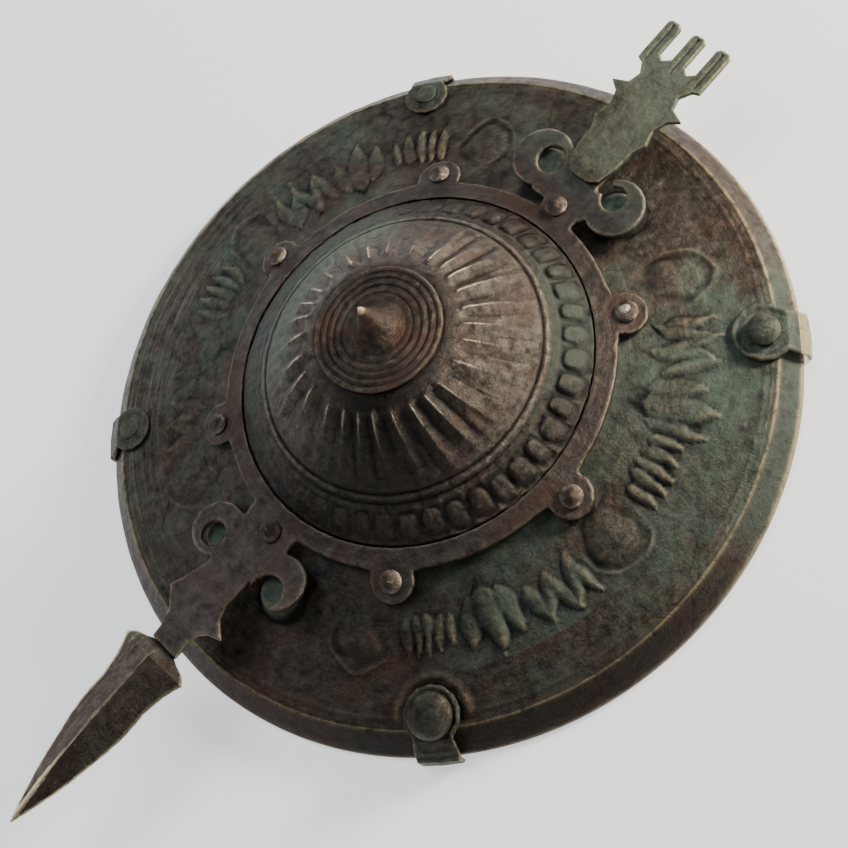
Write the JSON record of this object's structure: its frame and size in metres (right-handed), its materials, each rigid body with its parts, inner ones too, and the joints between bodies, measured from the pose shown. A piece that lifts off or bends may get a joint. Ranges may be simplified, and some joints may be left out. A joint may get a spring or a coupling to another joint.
{
  "type": "buckler shield",
  "caption": "Round dished bronze buckler with a fluted boss, a riveted ring frame, rim clips, a spear-like blade on one side and a tined fork on the other.",
  "frame": {"origin": "middle of the bounding box's underside, on the floor plane; the disc's axis stands 32.5 mm towards +X of it, because the blade reaches further than the fork", "axes": "+X runs from the blade to the fork, +Z points out of the boss, and the rim's underside lies at z = 0"},
  "size_m": [0.443, 0.32, 0.0956],
  "materials": {
    "plate_bronze": "cast bronze with grey-green patina",
    "boss_bronze": "dark brown bronze, worn bright on the flutes",
    "frame_bronze": "smooth red-brown bronze",
    "fork_bronze": "pale grey-green patina, lighter at the tips",
    "blade_bronze": "dark brown bronze with a bright worn edge",
    "rivet_bronze": "hammered bronze, bright on the peaks",
    "grip_leather": "dark worn leather over wood"
  },
  "bodies": {
    "root": {"body": "plate_bronze", "boss": "boss_bronze", "boss_cap": "boss_bronze", "ring_frame": "frame_bronze", "fork": "fork_bronze", "blade": "blade_bronze", "ring_rivet_1": "rivet_bronze", "ring_rivet_2": "rivet_bronze", "ring_rivet_3": "rivet_bronze", "ring_rivet_4": "rivet_bronze", "ring_rivet_5": "rivet_bronze", "ring_rivet_6": "rivet_bronze", "ring_rivet_7": "rivet_bronze", "ring_rivet_8": "rivet_bronze", "rim_clip_1": "plate_bronze", "rim_clip_2": "plate_bronze", "rim_clip_3": "plate_bronze", "rim_clip_4": "plate_bronze", "clip_rivet_1": "rivet_bronze", "clip_rivet_2": "rivet_bronze", "clip_rivet_3": "rivet_bronze", "clip_rivet_4": "rivet_bronze", "grip_bar": "frame_bronze", "grip_sleeve": "grip_leather"}
  },
  "joints": []
}
